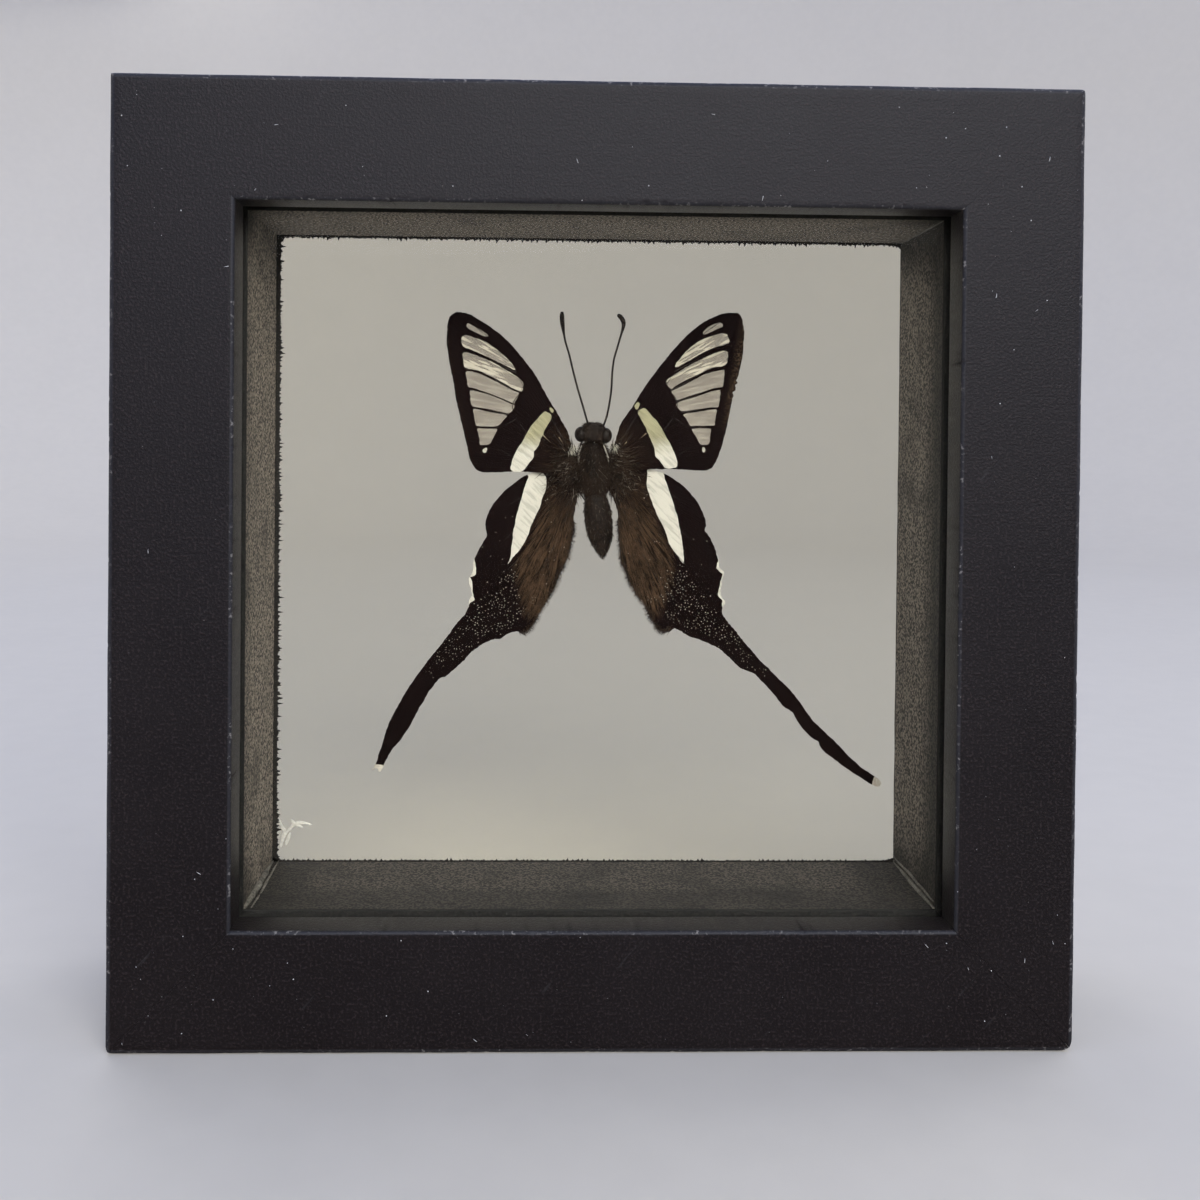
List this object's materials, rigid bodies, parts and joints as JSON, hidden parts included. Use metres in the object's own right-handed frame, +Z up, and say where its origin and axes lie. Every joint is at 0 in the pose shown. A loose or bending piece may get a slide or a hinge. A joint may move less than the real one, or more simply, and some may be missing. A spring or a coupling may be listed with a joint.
{
  "type": "framed butterfly specimen",
  "caption": "Square black box frame with clear panes front and back, holding a spread swallowtail butterfly with long tails for display on a shelf.",
  "frame": {"origin": "under the middle of the frame, on the surface that it stands on", "axes": "+X to the viewer's right, +Y from the front pane to the back, +Z up"},
  "size_m": [0.127, 0.032, 0.127],
  "materials": {
    "frame_paint": "satin",
    "spacer_stain": "matte",
    "stop_paint": "matte",
    "pane_glass": "gloss",
    "wing_scales": "matte",
    "body_hair": "matte",
    "antenna_horn": "satin",
    "dried_glue": "gloss"
  },
  "bodies": {
    "root": {"rail_top": "frame_paint", "rail_bottom": "frame_paint", "rail_left": "frame_paint", "rail_right": "frame_paint", "spacer_top": "spacer_stain", "spacer_bottom": "spacer_stain", "spacer_left": "spacer_stain", "spacer_right": "spacer_stain", "back_stop_top": "stop_paint", "back_stop_bottom": "stop_paint", "back_stop_left": "stop_paint", "back_stop_right": "stop_paint", "front_glass": "pane_glass", "rear_glass": "pane_glass", "forewing_left": "wing_scales", "forewing_right": "wing_scales", "hindwing_left": "wing_scales", "hindwing_right": "wing_scales", "head": "body_hair", "thorax": "body_hair", "abdomen": "body_hair", "antenna_left": "antenna_horn", "antenna_right": "antenna_horn", "glue_dot": "dried_glue"}
  },
  "joints": []
}
